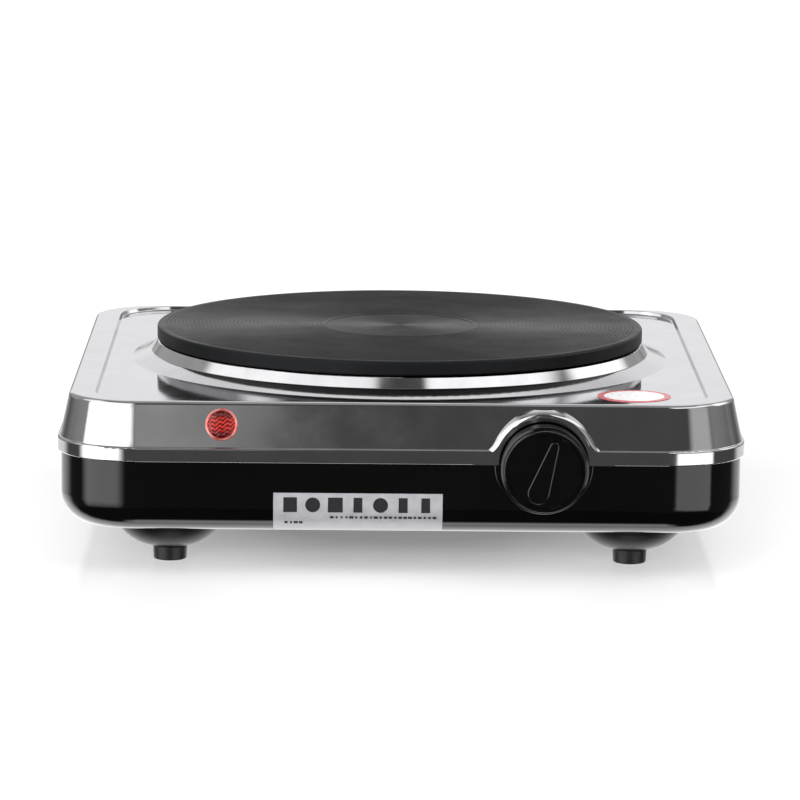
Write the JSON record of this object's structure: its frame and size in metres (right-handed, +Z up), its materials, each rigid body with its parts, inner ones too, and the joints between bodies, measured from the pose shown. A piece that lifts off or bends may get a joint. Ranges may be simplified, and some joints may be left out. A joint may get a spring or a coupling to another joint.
{
  "type": "hot plate burner",
  "caption": "Portable electric hotplate: round cast iron plate in a spill ring on a square pressed steel housing over a black pan, with a front rotary knob and a pilot lamp.",
  "frame": {"origin": "on the worktop, under the middle of the overall box", "axes": "+Z up out of the plate, +Y from the knob at the front to the cord inlet at the back, +X to the user's right"},
  "size_m": [0.2498, 0.2646, 0.0741],
  "materials": {
    "polished_steel": "polished stainless steel",
    "ring_steel": "bright rolled stainless steel",
    "black_enamel": "gloss black stove enamel",
    "cast_iron": "turned and heat-blackened",
    "ceramic": "fired, matt",
    "resistance_alloy": "oxidised",
    "aluminised_sheet": "rolled",
    "zinc_steel": "zinc plated",
    "brass": "turned",
    "spring_bronze": "rolled",
    "silver_contact": "satin",
    "red_lens": "moulded, ridged",
    "neon_glass": "clear",
    "resistor_body": "lacquered",
    "black_plastic": "moulded",
    "white_plastic": "moulded",
    "label_film": "printed film with plain bars",
    "sticker_film": "white film with a red ring",
    "foot_rubber": "moulded",
    "brown_insulation": "extruded",
    "blue_insulation": "extruded",
    "green_insulation": "extruded",
    "white_insulation": "extruded",
    "knob_plastic": "moulded, glossy"
  },
  "bodies": {
    "base": {"upper_housing": "polished_steel", "lower_pan": "black_enamel", "cast_iron_plate": "cast_iron", "spill_ring": "ring_steel", "ceramic_fill": "ceramic", "heating_coils": "resistance_alloy", "plate_bottom_cap": "aluminised_sheet", "centre_stud": "zinc_steel", "clamp_bar": "zinc_steel", "clamp_washer": "zinc_steel", "clamp_nut": "zinc_steel", "heat_shield": "aluminised_sheet", "shield_nut": "zinc_steel", "element_terminal_block": "ceramic", "element_terminal_pins": "zinc_steel", "spindle_bush": "brass", "bush_nut": "brass", "thermostat_frame": "zinc_steel", "moving_contact_blade": "spring_bronze", "fixed_contact_blade": "spring_bronze", "bimetal_blade": "spring_bronze", "contact_points": "silver_contact", "ceramic_stack": "ceramic", "stack_rivet": "brass", "lamp_lens": "red_lens", "lamp_retainer": "zinc_steel", "neon_lamp": "neon_glass", "lamp_resistor": "resistor_body", "tie_posts": "zinc_steel", "pan_screws": "zinc_steel", "cord_inlet_bush": "black_plastic", "inlet_nut": "black_plastic", "mains_terminal_block": "white_plastic", "terminal_screws": "brass", "earth_tag": "brass", "earth_screw": "zinc_steel", "earth_nut": "zinc_steel", "rating_label": "label_film", "round_sticker": "sticker_film", "foot_front_left": "foot_rubber", "foot_front_right": "foot_rubber", "foot_rear_left": "foot_rubber", "foot_rear_right": "foot_rubber", "wire_live": "brown_insulation", "wire_switched": "brown_insulation", "wire_neutral": "blue_insulation", "wire_earth": "green_insulation", "lamp_lead_front": "white_insulation", "lamp_lead_neutral": "blue_insulation", "lamp_lead_switched": "white_insulation"},
    "knob_and_spindle": {"control_knob": "knob_plastic", "knob_spring_clip": "spring_bronze", "knob_spindle": "zinc_steel"},
    "adjuster": {"adjuster_nut": "brass"}
  },
  "joints": [
    {"name": "knob_turn", "type": "hinge", "parent": "base", "child": "knob_and_spindle", "pos_m": [0.051, -0.11615, 0.0415], "axis": [0, 1, 0], "range_deg": [-18, 262]},
    {"name": "adjuster_travel", "type": "slide", "parent": "base", "child": "adjuster", "axis": [0, 1, 0], "range_m": [-0.00005, 0.0008]}
  ],
  "couplings": [
    {"joint": "adjuster_travel", "follows": "knob_turn", "m_per_rad": 0.00015915}
  ]
}
